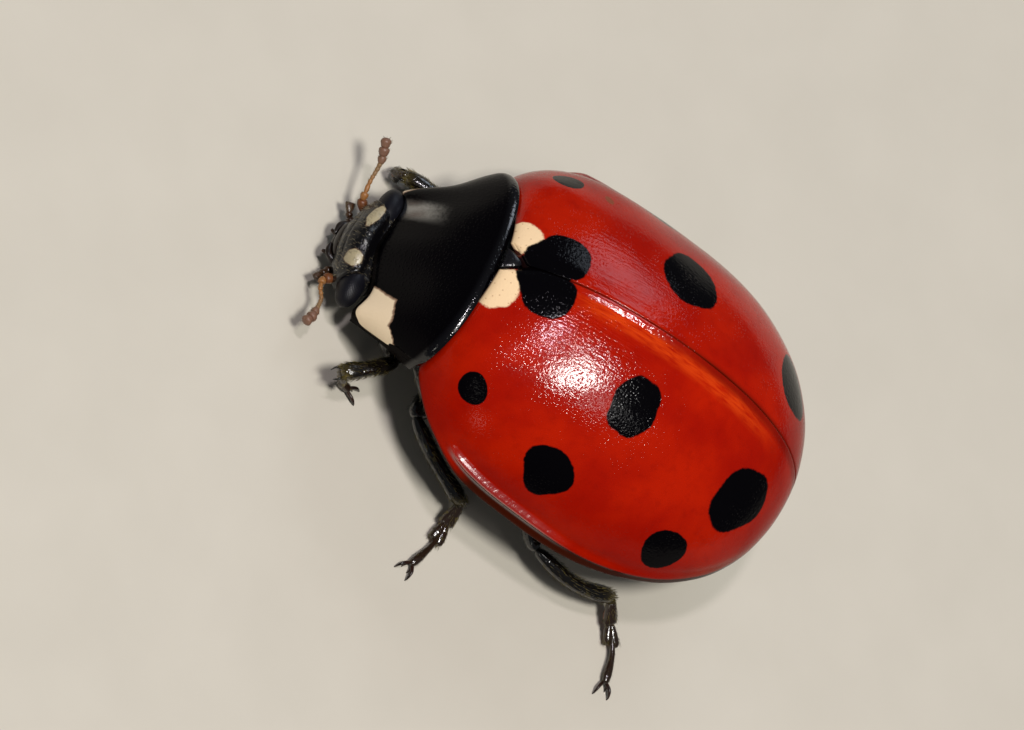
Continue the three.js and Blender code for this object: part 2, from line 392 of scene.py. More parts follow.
def domePoint(side, t, depth):
    # each cross-section is a superellipse over the rim, from -1 at the right rim to 1 at the left;
    # t runs from base to tip
    station = t * shell["tip"]
    x = side * halfWidthAt(station) * (1 - depth / shell["halfWidth"])
    arch = np.clip(1 - np.abs(side) ** shell["roundness"], 0, 1) ** (1 / shell["roundness"])
    front = (0.135 - 0.05 * (x / 0.9) ** 2) * (1 - t)
    notch = 0.2 * np.clip(1 - np.abs(x) / 0.15, 0, 1) * (1 - t) ** 10
    y = front + notch + t * shell["length"] - depth * smooth(t, 0.4, 1)
    crest = crestAt(station) * (1 - depth / shell["height"])
    z = shell["rimLevel"] + shell["rimRise"] * (1 - 2 * t) ** 2 * side ** 2 + crest * arch
    return np.stack(np.broadcast_arrays(x, y, z), -1)


def wingCase(sign):
    # the quarter of the dome from the seam to the rim, with steps crowded at both, as a thin closed plate
    share = np.linspace(0, 1, shell["columns"])
    angle = (share - 0.7 * np.sin(2 * np.pi * share) / (2 * np.pi)) * np.pi / 2
    side = np.sin(angle) ** (2 / shell["roundness"])
    t = (1 - np.cos(np.linspace(0, np.pi, shell["rows"]))) / 2
    side, t = np.meshgrid(side, t)
    outer = domePoint(side, t, 0.0)
    arc = lengthAlong(outer, 1)
    # length along the seam from its base, with the loss to the notch shared out evenly to the tip
    along = np.broadcast_to(lengthAlong(outer, 0)[:, :1], arc.shape) + 0.125 * (1 - t) * (1 - (1 - t) ** 9)
    rim = arc[:, -1:] - arc
    flare = 1 - smooth(t, 0.86, 0.97)
    bead = 0.014 if sign > 0 else 0.005
    relief = bead * bellCurve(arc - 0.030, 0.035) * smooth(along, 0.6, 0.85) * smooth(along, 2.4, 1.5)
    relief -= 0.010 * np.exp(-arc / 0.005)
    relief -= 0.006 * bellCurve(rim - 0.225, 0.055) * flare * smooth(along, 0.45, 0.95)
    ridge = bellCurve(rim - 0.135, 0.034) * flare
    relief += 0.040 * ridge * smooth(along, 0.6, 0.85) * smooth(along, 3.4, 1.6)
    relief += 0.070 * bellCurve(rim, 0.090) * smooth(along, 0.5, 1.0) * smooth(along, 3.0, 1.7)
    relief -= 0.020 * np.exp(-rim / 0.012)
    relief += 0.040 * bellCurve(arc - 1.15, 0.26) * bellCurve(along - 0.30, 0.26)
    relief -= 0.030 * np.exp(-along / 0.035)
    relief += 0.0025 * np.sin(arc * 7.1 + along * 2.3) * np.sin(along * 5.7 - arc * 1.9 + sign)
    room = np.clip(arc[:, -1:] / 0.6, 0, 1)
    outer = outer + surfaceNormals(outer) * (relief * room)[..., None]
    depth = shell["skinThickness"] + (shell["edgeThickness"] - shell["skinThickness"]) * side ** 4
    inner = domePoint(side, t, depth)
    opening = shell["seamHalfGap"] + 0.022 * smooth(t, 0.975, 1.0)
    for sheet in (outer, inner):
        sheet[..., 0] = np.maximum(sheet[..., 0] + opening * (1 - side), opening)
        sheet[..., 0] *= sign
    points, faces = slab(outer, inner)
    unrolled = np.stack([arc * sign, along, rim], -1)
    face = np.stack([np.zeros_like(t), t, side], -1)
    back = np.stack([np.ones_like(t), t, side], -1)
    shape = Shape().add(points, faces, unrolled=np.concatenate([unrolled, unrolled]),
                        facing=np.concatenate([face, back]))
    return shape


# Each spot: centre across and along the unrolled shell, half widths, tilt in degrees and waves round its edge
spots = {
    "left": [
        {"centre": (1.380, 0.438), "half": (0.178, 0.112), "tilt": 37, "waves": [(3, 0.03, -1.73)]},
        {"centre": (0.781, 1.659), "half": (0.303, 0.226), "tilt": 8,
         "waves": [(4, 0.026, 3.13), (6, 0.030, -1.7)]},
        {"centre": (1.745, 1.439), "half": (0.278, 0.221), "tilt": -136,
         "waves": [(3, 0.075, -0.71), (4, 0.041, -2.93)]},
        {"centre": (0.768, 3.127), "half": (0.398, 0.276), "tilt": 145,
         "waves": [(3, 0.042, 1.58), (5, 0.028, -1.53)]},
        {"centre": (1.653, 2.788), "half": (0.252, 0.197), "tilt": 146, "waves": [(3, 0.055, 0.99)]},
    ],
    "right": [
        {"centre": (-1.370, 0.465), "half": (0.190, 0.120), "tilt": 145, "waves": [(3, 0.03, 1.04)]},
        {"centre": (-0.805, 1.682), "half": (0.371, 0.293), "tilt": 163,
         "waves": [(3, 0.034, -1.05), (5, 0.023, 2.93)]},
        {"centre": (-1.970, 1.510), "half": (0.270, 0.230), "tilt": 0, "waves": [(5, 0.03, 0.5)]},
        {"centre": (-0.670, 3.170), "half": (0.370, 0.255), "tilt": -159, "waves": [(3, 0.07, 0.54)]},
        {"centre": (-1.660, 2.820), "half": (0.250, 0.215), "tilt": 30, "waves": [(3, 0.05, 1.2)]},
    ],
}
scutellarLobe = {"centre": (0.235, 0.465), "half": (0.245, 0.235), "tilt": 0, "waves": [(4, 0.03, 3.14)]}
creamPatch = {"left": (0.40, 0.245), "right": (0.33, 0.20)}


def spotMask(finish, across, along, spot, ragged):
    # an oval, pulled out at its corners and roughened by noise, 1 inside and 0 outside
    turn = math.radians(spot["tilt"])
    x = across - spot["centre"][0]
    y = along - spot["centre"][1]
    u = (x * math.cos(turn) + y * math.sin(turn)) / spot["half"][0]
    v = (y * math.cos(turn) - x * math.sin(turn)) / spot["half"][1]
    reach = (u * u + v * v).root()
    bearing = v.maths("ARCTAN2", v, u)
    edge = ragged + 1.0
    for count, swing, start in spot["waves"]:
        edge = edge + (bearing * count + start).cosine() * swing
    return (edge - reach).fade(-0.035, 0.035)


# how strongly each case's colour is darkened towards the rim as painted shade, twice as much on the right
flankPaintedShadeStrength = {"left": 0.25, "right": 0.5}
shellColours = {
    "red": srgb(158, 14, 0), "warmRed": srgb(180, 26, 0), "grain": srgb(136, 10, 0),
    "streakToneAndSheen": srgb(216, 66, 12), "seamToneAndShade": srgb(92, 10, 2), "seamEdge": srgb(96, 20, 4),
    "flankPaintedShadeAndDull": srgb(112, 12, 0), "cream": srgb(250, 218, 174), "creamPit": srgb(150, 90, 40),
    "black": srgb(3, 2, 4), "fleck": srgb(120, 60, 10), "rearRim": srgb(118, 58, 36),
    "rim": srgb(42, 16, 5), "edge": srgb(60, 20, 8), "inside": srgb(48, 16, 7),
}


def shellFinish(side):
    finish = Finish(f"shell {side}", shine=0.24, coatIor=2.0, coatRough=0.16)
    unrolled = finish.attribute("unrolled")
    across, along, rim = finish.split(unrolled)
    inside, t, _ = finish.split(finish.attribute("facing"))
    flat = finish.join(across, along)
    distance = across.size()
    cloud = finish.noise(flat, 1.3, 3.0)
    grain = finish.noise(flat, 9.0, 4.0, 0.6)
    ragged = (finish.noise(flat, 16.0, 3.0, 0.6) - 0.5) * 0.12
    colour = finish.mix(cloud.fade(0.35, 0.65), shellColours["red"], shellColours["warmRed"])
    colour = finish.mix(grain.fade(0.45, 0.8) * 0.35, colour, shellColours["grain"])
    streaks = finish.noise(finish.join(across * 7.0, along), 5.0, 3.0)
    # an orange band beside the seam on the left case only: partly the shell's own orange tone, partly a
    # painted sheen
    seamToneAndSheenBand = across.fade(0.03, 0.13) * across.fade(0.28, 0.16) * along.fade(0.5, 1.0) * along.fade(3.3, 2.4)
    colour = finish.mix(seamToneAndSheenBand * streaks.fade(0.25, 0.65) * 0.8, colour, shellColours["streakToneAndSheen"])
    # a darker line beside the seam, mostly on the left case: partly the shell's own tone, partly painted
    # shade
    seamToneAndShadeLine = across.fade(-0.06, 0.01) * across.fade(0.13, 0.05) * along.fade(1.2, 2.3)
    colour = finish.mix(seamToneAndShadeLine * 0.55, colour, shellColours["seamToneAndShade"])
    seamEdge = distance.fade(0.016, 0.004)
    colour = finish.mix(seamEdge * 0.6, colour, shellColours["seamEdge"])
    # painted shade: the base colour darkens towards the rim, more on the right case and towards the rear tip;
    # the same mask also dulls the shine
    front = 0.0 if side == "left" else along.fade(0.9, 0.4)
    flankPaintedShadeAndDull = (rim.fade(1.1, 0.1) * (1.0 - front)).most(along.fade(2.9, 3.7))
    colour = finish.mix(flankPaintedShadeAndDull * flankPaintedShadeStrength[side], colour, shellColours["flankPaintedShadeAndDull"])
    middle, halfWide = creamPatch[side]
    creamReach = ((distance - middle) / halfWide) ** 2.0 + (along / 0.24) ** 2.0
    cream = (1.0 + ragged * 2.0 - creamReach.root()).fade(-0.06, 0.05)
    colour = finish.mix(cream, colour, shellColours["cream"])
    colour = finish.mix(cream * finish.pits(flat, 11.0, 0.12) * 0.6, colour, shellColours["creamPit"])
    black = spotMask(finish, distance, along, scutellarLobe, ragged)
    for spot in spots[side]:
        black = black.most(spotMask(finish, across, along, spot, ragged))
    neck = (distance + ragged * 0.5 - (along - 0.05).most(0.0) * 1.15).fade(0.14, 0.11)
    neck = neck * distance.fade(0.47, 0.44) * (along + ragged * 0.5).fade(0.55, 0.52)
    black = black.most(neck)
    colour = finish.mix(black, colour, shellColours["black"])
    if side == "right":
        fleck = ((across + 1.345) / 0.075) ** 2.0 + ((along - 0.84) / 0.045) ** 2.0
        colour = finish.mix((1.0 + ragged * 3.0 - fleck).fade(-0.2, 0.4) * 0.7, colour, shellColours["fleck"])
    colour = finish.mix(rim.fade(0.45, 0.05) * along.fade(3.0, 3.6) * 0.6, colour, shellColours["rearRim"])
    colour = finish.mix(rim.fade(0.130, 0.108) * along.fade(0.72, 1.1) * 0.95, colour, shellColours["rim"])
    colour = finish.mix(rim.fade(0.05, 0.02) * 0.7, colour, shellColours["edge"])
    colour = finish.mix(inside * (1.0 - black * 0.8), colour, shellColours["inside"])
    pit = finish.pits(flat, 27.0, 0.30) * finish.noise(flat, 5.0, 2.0).fade(0.35, 0.65)
    fine = finish.noise(flat, 45.0, 3.0)
    faceted = finish.noise(flat, 21.0, 2.0)
    combed = (streaks - 0.5) * distance.fade(0.95, 0.5) * along.fade(0.3, 0.8) * along.fade(2.4, 1.5)
    ridge = rim.fade(0.205, 0.175) * rim.fade(0.065, 0.095) * along.fade(0.65, 0.85) * along.fade(2.2, 1.6)
    seamBead = across.fade(0.0, 0.01) * across.fade(0.10, 0.07)
    seamBead = seamBead * along.fade(0.6, 0.85) * along.fade(1.9, 1.5)
    beads = finish.noise(flat, 15.0, 1.0)
    height = fine * 0.8 - pit + faceted * 1.4 + combed * 3.0 + beads * (ridge * 7.0 + seamBead * 4.0)
    rimBand = rim.fade(0.10, 0.07) * along.fade(0.72, 1.1)
    shine = (0.26 - flankPaintedShadeAndDull * 0.22) * (1.0 - black * 0.35) * (1.0 - rimBand * 0.8)
    shine = shine + ridge * 0.7 + seamBead * 0.4
    rough = (0.08 + inside * 0.2 + grain * 0.04 + flankPaintedShadeAndDull * 0.1) * (1.0 - ridge) + ridge * 0.22
    finish.drive(colour=colour, rough=rough, coat=ridge * 0.9, normal=finish.bump(height, 0.0017, 0.9))
    finish.mixShine((shine - 0.03) / 0.92, 0.03, 0.95)
    return finish


# Small plate between the wing-case bases
def scutellumShape():
    # a triangle with its base to the front and a rounded tip behind, its top slightly domed
    u, v = np.meshgrid(np.linspace(-1, 1, 33), np.linspace(0, 1, 25))
    x = u * 0.108 * np.sqrt(np.clip(1 - v ** 1.7, 0, 1)) * (1 - 0.35 * v) + u * 0.004
    y = 0.145 + 0.158 * v
    base = shell["rimLevel"] + crestAt(np.zeros_like(u)) - 0.05 * (1 - v) ** 2
    swell = (1 - u ** 2) * np.sin(np.pi * np.clip(v, 0.05, 1)) ** 0.5
    top = base - 0.012 + 0.010 * swell - 0.016 * np.abs(u) ** 6
    outer = np.stack([x, y, top], -1)
    inner = np.stack([x, y, base - 0.2], -1)
    points, faces = slab(outer, inner)
    flat = np.stack([x, y, 0 * x], -1)
    return Shape().add(points, faces, unrolled=np.concatenate([flat, flat]))


# Pronotum
shield = {"rows": 120, "columns": 170}


def shieldPoint(side, v, inside):
    # slopes down and narrows from its rear edge, v 0, to its front edge, v 1; inside 1 is its under surface
    reach = np.abs(side)
    dent = 0.05 * smooth(-side, 0.1, 0.6) * bellCurve(v - 0.52, 0.25)
    x = side * (1.16 - 0.42 * v - 0.01 * np.sin(v * np.pi) - dent)
    rear = 0.100 - 0.085 * reach ** 2
    front = -0.64 + 0.55 * reach ** 2 - 0.66 * reach ** 4 + 0.24 * reach ** 12
    front = front - 0.06 * smooth(-side, 0.1, 0.6)
    crest = 0.80 - 1.01 * v + 0.10 * np.sin(v * np.pi)
    margin = 0.17 - 0.63 * v
    arch = np.clip(1 - reach ** 2.5, 0, 1) ** (1 / 2.0)
    thickness = (0.06 + 0.30 * (1 - v) ** 2) * (1 - 0.8 * reach ** 2)
    z = shell["rimLevel"] + margin + (crest - margin) * arch - inside * thickness
    return np.stack(np.broadcast_arrays(x, rear + (front - rear) * v, z), -1)


def pronotumShape():
    share = np.linspace(-1, 1, shield["columns"])
    side = np.sin(share * np.pi / 2)
    v = (1 - np.cos(np.linspace(0, np.pi, shield["rows"]))) / 2
    side, v = np.meshgrid(side, v)
    outer = shieldPoint(side, v, 0.0)
    arc = lengthAlong(outer, 1)
    arc = arc - arc[:, shield["columns"] // 2][:, None]
    margin = arc[:, -1:] - np.abs(arc)
    along = lengthAlong(outer, 0)
    front = along[-1:] - along
    relief = -0.014 * bellCurve(margin - 0.060, 0.022) * smooth(v, 0.5, 0.3) - 0.018 * np.exp(-margin / 0.012)
    relief -= 0.055 * np.exp(-along / 0.034)
    relief += -0.024 * np.exp(-front / 0.016)
    relief += 0.003 * np.sin(arc * 4.3 + 0.6) * np.sin(along * 6.1 + 1.0)
    outer = outer + surfaceNormals(outer) * relief[..., None]
    inner = shieldPoint(side, v, 1.0)
    points, faces = slab(outer, inner)
    flat = np.stack([arc, along, margin], -1)
    place = np.stack([side, v, 0 * v], -1)
    under = np.stack([side, v, 0 * v + 1], -1)
    return Shape().add(points, faces, unrolled=np.concatenate([flat, flat]),
                       shieldPlace=np.concatenate([place, under]))


def blackPolish(finish, flat, pitScale, pitWidth, pitDepth, fineScale=70.0):
    # the close dimples and fine leathery net of black plates; gives the height and its bump
    pit = finish.pits(flat, pitScale, pitWidth)
    net = finish.noise(flat, fineScale, 2.0)
    return finish.bump(net * 0.35 - pit, pitDepth, 0.9)


shieldColours = {
    "black": srgb(3, 2, 4), "cream": srgb(246, 224, 190), "creamBorder": srgb(120, 60, 34),
    "creamEdge": srgb(150, 112, 74), "underside": srgb(12, 9, 8),
}


def pronotumFinish():
    finish = Finish("black shield", shine=0.13, coatRough=0.22, coatIor=4.0, coatTint=(0.78, 0.87, 1.0))
    across, along, margin = finish.split(finish.attribute("unrolled"))
    side, v, under = finish.split(finish.attribute("shieldPlace"))
    flat = finish.join(across, along)
    ragged = (finish.noise(flat, 7.0, 2.0, 0.5) - 0.5) * 0.05
    reach = side.size() + ragged
    # cream front corners: outside a slanted line, in front of a step and a line towards the side
    inner = 0.58 + side.fade(0.0, -0.1) * 0.30
    slant = (reach - (inner + (1.0 - v) * 0.45)).fade(-0.02, 0.02)
    step = (v + ragged - (0.73 - (reach - 0.71) * 0.68)).fade(-0.02, 0.02)
    lower = (v - (0.58 - (reach - 0.93) * 3.2)).fade(-0.02, 0.02)
    cream = slant.least(step.most((reach - 0.92).fade(-0.02, 0.02).least(lower)))
    rusty = cream * (1.0 - cream) * 4.0
    colour = finish.mix(cream, shieldColours["black"], shieldColours["cream"])
    colour = finish.mix(rusty * 0.5, colour, shieldColours["creamBorder"])
    edge = margin.fade(0.035, 0.012)
    colour = finish.mix(edge * cream, colour, shieldColours["creamEdge"])
    colour = finish.mix(under.fade(0.1, 0.4), colour, shieldColours["underside"])
    # a clear glossy coat over the right front slope, with no colour: it only mirrors the lamps and the floor
    grain = finish.noise(flat, 26.0, 3.0, 0.7)
    spread = (side + 0.62 - (1.0 - v) * 0.47 + (grain - 0.5) * 0.06).size()
    film = spread.fade(0.21, 0.05) * (v + grain * 0.14).fade(0.62, 0.95) * (1.0 - under)
    brink = along.fade(0.11, 0.04)
    shine = 0.10 - side.fade(0.3, 0.9) * 0.06 + brink * 0.6
    finish.drive(colour=colour, rough=0.18 + finish.noise(flat, 5.0) * 0.08 - brink * 0.08,
                 coat=film * (grain * 0.8 + 0.6).least(1.0),
                 normal=blackPolish(finish, flat, 24.0, 0.30, 0.0013))
    finish.mixShine((shine - 0.03) / 0.67, 0.03, 0.70)
    return finish


def plateFinish(name, tint, rough, pitDepth, pitScale=24.0):
    # black plates with no markings, dimpled in the round by their place on the body
    finish = Finish(name, shine=0.5)
    place = finish.place()
    pit = finish.pits(place, pitScale / millimetre, 0.42, flat=False)
    net = finish.noise(place, 60.0 / millimetre, 2.0)
    cloud = finish.noise(place, 4.0 / millimetre, 3.0)
    dark = tuple(channel * 0.6 for channel in tint)
    finish.drive(colour=finish.mix(cloud, dark, tint), rough=rough + cloud * 0.12,
                 normal=finish.bump(net * 0.4 - pit, pitDepth, 0.9))
    return finish


addCamera()
for lampName, lamp in lamps.items():
    addLamp(lampName, **lamp)


def addFloor():
    # a wide pale disc at the level of the feet
    finish = Finish("pale floor", rough=0.75, shine=0.2)
    speck = finish.noise(finish.place(), 900.0, 4.0)
    finish.drive(colour=finish.mix(speck, srgb(200, 194, 180), srgb(210, 204, 190)))
    angle = np.linspace(0, 2 * np.pi, 96, endpoint=False)
    ring = np.stack([1.5 * np.cos(angle), 1.5 * np.sin(angle), 0 * angle], -1)
    mesh = bpy.data.meshes.new("floor")
    mesh.from_pydata(ring.tolist(), [], [list(range(96))])
    mesh.materials.append(finish.material)
    floor = bpy.data.objects.new("floor", mesh)
    bpy.context.scene.collection.objects.link(floor)


def addWorld():
    world = bpy.data.worlds.new("studio")
    world.use_nodes = True
    background = world.node_tree.nodes["Background"]
    background.inputs["Color"].default_value = (0.80, 0.86, 0.95, 1)
    background.inputs["Strength"].default_value = 0.09
    bpy.context.scene.world = world
    bpy.context.scene.view_settings.view_transform = "Standard"


addFloor()
addWorld()
print("stage set")

for sign, side in ((1, "left"), (-1, "right")):
    build(f"wing_case_{side}", wingCase(sign), [shellFinish(side)], [f"elytron_{side}"])
build("scutellum_plate", scutellumShape(), [plateFinish("scutellum black", srgb(14, 12, 16), 0.2, 0.002)],
      ["scutellum"])
build("pronotum_shield", pronotumShape(), [pronotumFinish()], ["pronotum"])

# Tubes along a path
def unit(vectors):
    return vectors / (np.linalg.norm(vectors, axis=-1, keepdims=True) + 1e-12)


def smoothPath(knots, share):
    # a Catmull-Rom curve through the knots, read at shares of its own length
    knots = np.asarray(knots, float)
    padded = np.vstack([2 * knots[0] - knots[1], knots, 2 * knots[-1] - knots[-2]])
    fine = np.linspace(0, len(knots) - 1, 60 * len(knots))
    left = np.minimum(fine.astype(int), len(knots) - 2)
    t = (fine - left)[:, None]
    before, start, end, after = (padded[left + step] for step in range(4))
    curve = 0.5 * (2 * start + (end - before) * t + (2 * before - 5 * start + 4 * end - after) * t ** 2
                   + (3 * start - before - 3 * end + after) * t ** 3)
    walked = lengthAlong(curve[:, None], 0)[:, 0]
    return np.stack([np.interp(share, walked / walked[-1], curve[:, axis]) for axis in range(3)], -1)


def profile(knots, share):
    # a smooth height over share through a few knots, its slope at each taken from its neighbours
    x, y = np.array(knots, float).T
    slope = np.gradient(y, x)
    left = np.clip(np.searchsorted(x, share, side="right") - 1, 0, len(x) - 2)
    width = x[left + 1] - x[left]
    t = (share - x[left]) / width
    start = (1 + 2 * t) * (1 - t) ** 2 * y[left] + t * (1 - t) ** 2 * width * slope[left]
    return start + t * t * (3 - 2 * t) * y[left + 1] + t * t * (t - 1) * width * slope[left + 1]


class Tube:
    # an oval carried along a smooth path, its half width and half depth read from knots, domed at both ends
    def __init__(self, knots, wide, deep, steps=36, around=20, up=(0, 0, 1), bluntness=14):
        self.share = (1 - np.cos(np.linspace(0, np.pi, steps))) / 2
        self.around = around
        self.path = smoothPath(knots, self.share)
        self.along = unit(np.gradient(self.path, axis=0))
        self.across = unit(np.cross(self.along, np.asarray(up, float)))
        self.over = np.cross(self.across, self.along)
        dome = np.sqrt(np.clip(1 - np.abs(2 * self.share - 1) ** bluntness, 0.0004, 1))
        self.wide = profile(wide, self.share) * dome
        self.deep = profile(deep, self.share) * dome

    def skin(self, share, angle, swell=1.0):
        # the point, outward direction and forward direction at a share of the length and an angle round it
        def read(values):
            return np.stack([np.interp(share, self.share, values[:, axis]) for axis in range(3)], -1)
        across, over = read(self.across), read(self.over)
        wide = np.interp(share, self.share, self.wide)[..., None] * np.asarray(swell)[..., None]
        deep = np.interp(share, self.share, self.deep)[..., None] * np.asarray(swell)[..., None]
        turn = np.stack([np.cos(angle), np.sin(angle)], -1)
        place = read(self.path) + turn[..., :1] * wide * across + turn[..., 1:] * deep * over
        outward = unit(turn[..., :1] * across / (wide + 1e-6) + turn[..., 1:] * over / (deep + 1e-6))
        return place, outward, read(self.along)

    def addTo(self, shape, finish=0, lump=None, tag=0.0):
        circle = np.linspace(0, 2 * np.pi, self.around, endpoint=False)
        share, angle = np.meshgrid(self.share, circle, indexing="ij")
        swell = 1.0 + (lump(share, angle) if lump else 0.0 * share)
        points = self.skin(share, angle, swell)[0]
        start = np.arange(self.around)[None]
        end = start[:, ::-1] + points.size // 3 - self.around
        limb = np.stack([share, angle, np.full_like(share, tag)], -1)
        shape.add(points, [gridFaces(*share.shape, closed=True), start, end], finish, limb=limb)
        return self


def ball(shape, centre, radii, lean=0.0, rows=24, columns=32, finish=0, dent=None, tag=0.0):
    # a ball with its poles left and right, pulled out to three radii and leaned forward about X
    polar = np.linspace(0.012, np.pi - 0.012, rows)[:, None]
    turn = np.linspace(0, 2 * np.pi, columns, endpoint=False)[None]
    ways = np.cos(polar), -np.sin(polar) * np.cos(turn), np.sin(polar) * np.sin(turn)
    way = np.stack(np.broadcast_arrays(*ways), -1)
    tilt = np.array([[1, 0, 0], [0, math.cos(lean), -math.sin(lean)], [0, math.sin(lean), math.cos(lean)]])
    outward = unit((way / np.array(radii)) @ tilt.T)
    points = (way * np.array(radii)) @ tilt.T + np.array(centre)
    if dent is not None:
        points = dent(points, outward, way)
    start = np.arange(columns)[None]
    end = start[:, ::-1] + (rows - 1) * columns
    limb = np.stack(np.broadcast_arrays(polar / np.pi, turn, np.full_like(polar * turn, tag)), -1)
    shape.add(points, [gridFaces(rows, columns, closed=True), start, end], finish, limb=limb)
    return points, outward


# Hairs: thin three-sided spikes that bend as they rise
luck = np.random.default_rng(11)


class Coat:
    def __init__(self):
        self.shape = Shape()
        self.patches = []
        self.tiles = 0

    def grow(self, roots, outward, lie, length, thick, rise=0.5, spot=None):
        # each hair leaves its root between the outward way and the lie of the coat, then bends to the lie
        count = len(roots)
        length = length * luck.uniform(0.7, 1.2, (count, 1))
        way = unit(outward * rise + lie * (1 - rise) + luck.normal(0, 0.12, (count, 3)))
        side = unit(np.cross(way, outward + np.array([0.013, 0.027, 0.011])))
        other = np.cross(way, side)
        climb = np.array([0.0, 0.45, 0.8, 1.0])[None, :, None]
        spine = roots[:, None] - 0.004 * outward[:, None] + length[:, None] * (
            climb * way[:, None] + 0.35 * climb ** 2 * lie[:, None])
        turn = np.arange(3) * 2 * np.pi / 3
        cosine, sine = np.cos(turn)[None, None, :, None], np.sin(turn)[None, None, :, None]
        ring = cosine * side[:, None, None] + sine * other[:, None, None]
        taper = np.array([1.0, 0.8, 0.45])[None, :, None, None] * thick
        body = spine[:, :3, None] + ring * taper
        points = np.concatenate([body.reshape(count, 9, 3), spine[:, 3:]], 1)
        sides = np.concatenate([gridFaces(3, 3, closed=True)])
        tip = np.array([[6, 7, 9], [7, 8, 9], [8, 6, 9]])
        foot = np.array([[2, 1, 0]])
        offset = (np.arange(count) * 10)[:, None, None]
        groups = [(sides[None] + offset).reshape(-1, 4), (tip[None] + offset).reshape(-1, 3),
                  (foot[None] + offset).reshape(-1, 3)]
        self.shape.add(points, groups)
        ringPatch = 0.0015 * np.stack([np.cos(turn), np.sin(turn)], -1)
        shrink = np.array([1.0, 0.7, 0.4])[:, None, None]
        local = np.concatenate([(ringPatch[None] * shrink).reshape(9, 2), np.zeros((1, 2))])
        tilesAcross = 8
        corner = np.array([self.tiles % tilesAcross, self.tiles // tilesAcross])
        centre = (corner + 0.06 + 0.88 * spot) / tilesAcross
        self.patches.append((centre[:, None] + local[None]).reshape(-1, 2))
        self.tiles += 1

    def growOnTube(self, tube, count, length, thick, rise=0.45, shares=(0.05, 0.95), arc=(0.0, 2 * np.pi)):
        share = luck.uniform(*shares, count)
        angle = luck.uniform(*arc, count)
        root, outward, along = tube.skin(share, angle)
        spot = np.stack([share, (angle / (2 * np.pi)) % 1], -1)
        self.grow(root, outward, along, length, thick, rise, spot=spot)


legCoat = Coat()
bodyCoat = Coat()


# Head
head = {"centre": (0, -0.665, 0.41), "radii": (0.5, 0.34, 0.28), "lean": -0.35, "roll": 5.0,
        "eyeCentre": (0.430, -0.652, 0.475), "eyeRadii": (0.245, 0.125, 0.150), "eyeLean": 0.2,
        "facetPitch": 0.024, "facetHeight": 0.0022}
creamSpots = {"left": {"centre": (0.266, -0.812, 0.600), "way": (0.10, -0.75, -0.64), "half": (0.100, 0.085)},
              "right": {"centre": (-0.215, -0.803, 0.650), "way": (-0.898, 0.398, -0.188),
                        "half": (0.185, 0.056)}}


def rolled(points):
    # the head is turned a little about its own length, its right side up
    turn = math.radians(head["roll"])
    offset = points - np.array([0, 0, 0.44])
    x = offset[..., 0] * math.cos(turn) + offset[..., 2] * math.sin(turn)
    z = offset[..., 2] * math.cos(turn) - offset[..., 0] * math.sin(turn)
    return np.stack([x, offset[..., 1], z + 0.44], -1)


def headDent(points, outward, way):
    # narrows to the mouth, with a low ridge round each eye, feeler sockets, a face line and a face plate
    x, y, z = points[..., 0], points[..., 1], points[..., 2]
    narrowed = points.copy()
    narrowed[..., 0] = x * (1 - 0.3 * smooth(-y, 0.75, 1.0))
    x = narrowed[..., 0]
    relief = 0.003 * np.sin(x * 19 + 1) * np.sin(z * 23 + y * 17)
    mirrored = np.stack([np.abs(x), y, z], -1)
    eye = np.linalg.norm((mirrored - head["eyeCentre"]) / head["eyeRadii"], axis=-1)
    relief += 0.020 * bellCurve(eye - 1.16, 0.12) - 0.05 * smooth(eye, 0.98, 0.8)
    socket = np.linalg.norm(mirrored - np.array([0.39, -0.85, 0.31]), axis=-1)
    relief += -0.035 * bellCurve(socket, 0.06) + 0.014 * bellCurve(socket - 0.09, 0.025)
    front = smooth(-y, 0.82, 0.9) * smooth(np.abs(x), 0.34, 0.26)
    lineLevel = 0.52 - 0.6 * x ** 2
    faceLine = bellCurve(z - lineLevel, 0.014)
    facePlate = smooth(z, lineLevel - 0.01, lineLevel - 0.06)
    relief += front * (-0.010 * faceLine + 0.010 * facePlate)
    hollow = bellCurve(mirrored[..., 0] - 0.13, 0.07) * bellCurve(z - 0.66, 0.09)
    relief -= 0.016 * hollow * smooth(-y, 0.7, 0.8)
    relief -= 0.012 * bellCurve(x, 0.03) * smooth(-y, 0.7, 0.8) * smooth(z, 0.55, 0.6)
    raised = narrowed + outward * relief[..., None]
    # the crown stays below a plane that rises forward from the front edge of the shield
    ceiling = 0.60 + 0.9 * np.maximum(-0.64 - y, 0)
    raised[..., 2] = ceiling - 0.015 * np.logaddexp(0, (ceiling - raised[..., 2]) / 0.015)
    # and the face is pressed flat in front of the feelers
    excess = np.maximum(-0.79 - raised[..., 1], 0)
    raised[..., 1] += 0.42 * excess ** 2 / (excess + 0.03)
    return rolled(raised)


headColours = {
    "black": srgb(7, 6, 8), "cream": srgb(168, 156, 126), "creamBorder": srgb(70, 38, 20),
}


